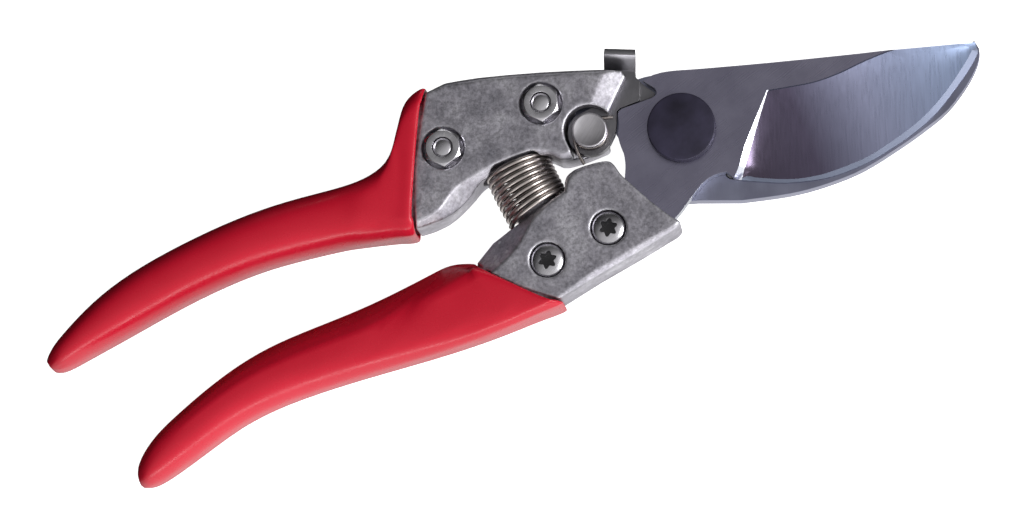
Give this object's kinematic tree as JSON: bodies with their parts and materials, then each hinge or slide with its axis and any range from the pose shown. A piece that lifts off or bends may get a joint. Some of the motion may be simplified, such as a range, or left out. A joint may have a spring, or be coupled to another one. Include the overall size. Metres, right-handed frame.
{
  "type": "bypass pruner",
  "caption": "One-hand bypass pruner with cast frames, vinyl-dipped grips, hollow-ground blade, counter hook, coil spring and spring-loaded thumb latch.",
  "frame": {"origin": "on the pivot axis, in the plane the tool rests on, at the end of the pivot bolt", "axes": "+X from the pivot towards the blade tip, +Y towards the handle that carries the hook, +Z along the pivot axis towards the bolt's head"},
  "size_m": [0.2018, 0.0561, 0.0158],
  "materials": {
    "casting": "tumbled die casting",
    "vinyl": "glossy dipped vinyl",
    "chromed_blade": "hard chromed, hollow ground",
    "hook_steel": "ground",
    "blackened": "black oxide",
    "zinc": "bright zinc plate",
    "spring_steel": "oil-tempered wire",
    "latch_steel": "pressed and tumbled"
  },
  "bodies": {
    "hook_side": {"hook_frame": "casting", "hook_grip": "vinyl", "hook_blade": "hook_steel", "pivot_bolt": "blackened", "pivot_nut": "zinc", "pivot_keeper": "zinc", "pivot_keeper_screw": "zinc", "lock_pin": "zinc", "lock_spring": "spring_steel", "main_spring": "spring_steel", "hook_bolt_front": "zinc", "hook_nut_front": "zinc", "hook_bolt_rear": "zinc", "hook_nut_rear": "zinc"},
    "cutter_side": {"cutter_frame": "casting", "cutter_grip": "vinyl", "cutting_blade": "chromed_blade", "blade_screw_front": "zinc", "blade_nut_front": "zinc", "blade_screw_rear": "zinc", "blade_nut_rear": "zinc"},
    "latch": {"lock_lever": "latch_steel"}
  },
  "joints": [
    {"name": "blade_pivot", "type": "hinge", "parent": "hook_side", "child": "cutter_side", "pos_m": [0, 0, 0], "axis": [0, 0, 1], "range_deg": [0, 30], "deforming": ["main_spring", "lock_spring"]},
    {"name": "latch_swing", "type": "hinge", "parent": "hook_side", "child": "latch", "pos_m": [-0.0177, 0.0063, 0], "axis": [0, 0, 1], "range_deg": [0, 30]}
  ],
  "couplings": [
    {"joint": "latch_swing", "follows": "blade_pivot", "ratio": 1}
  ]
}
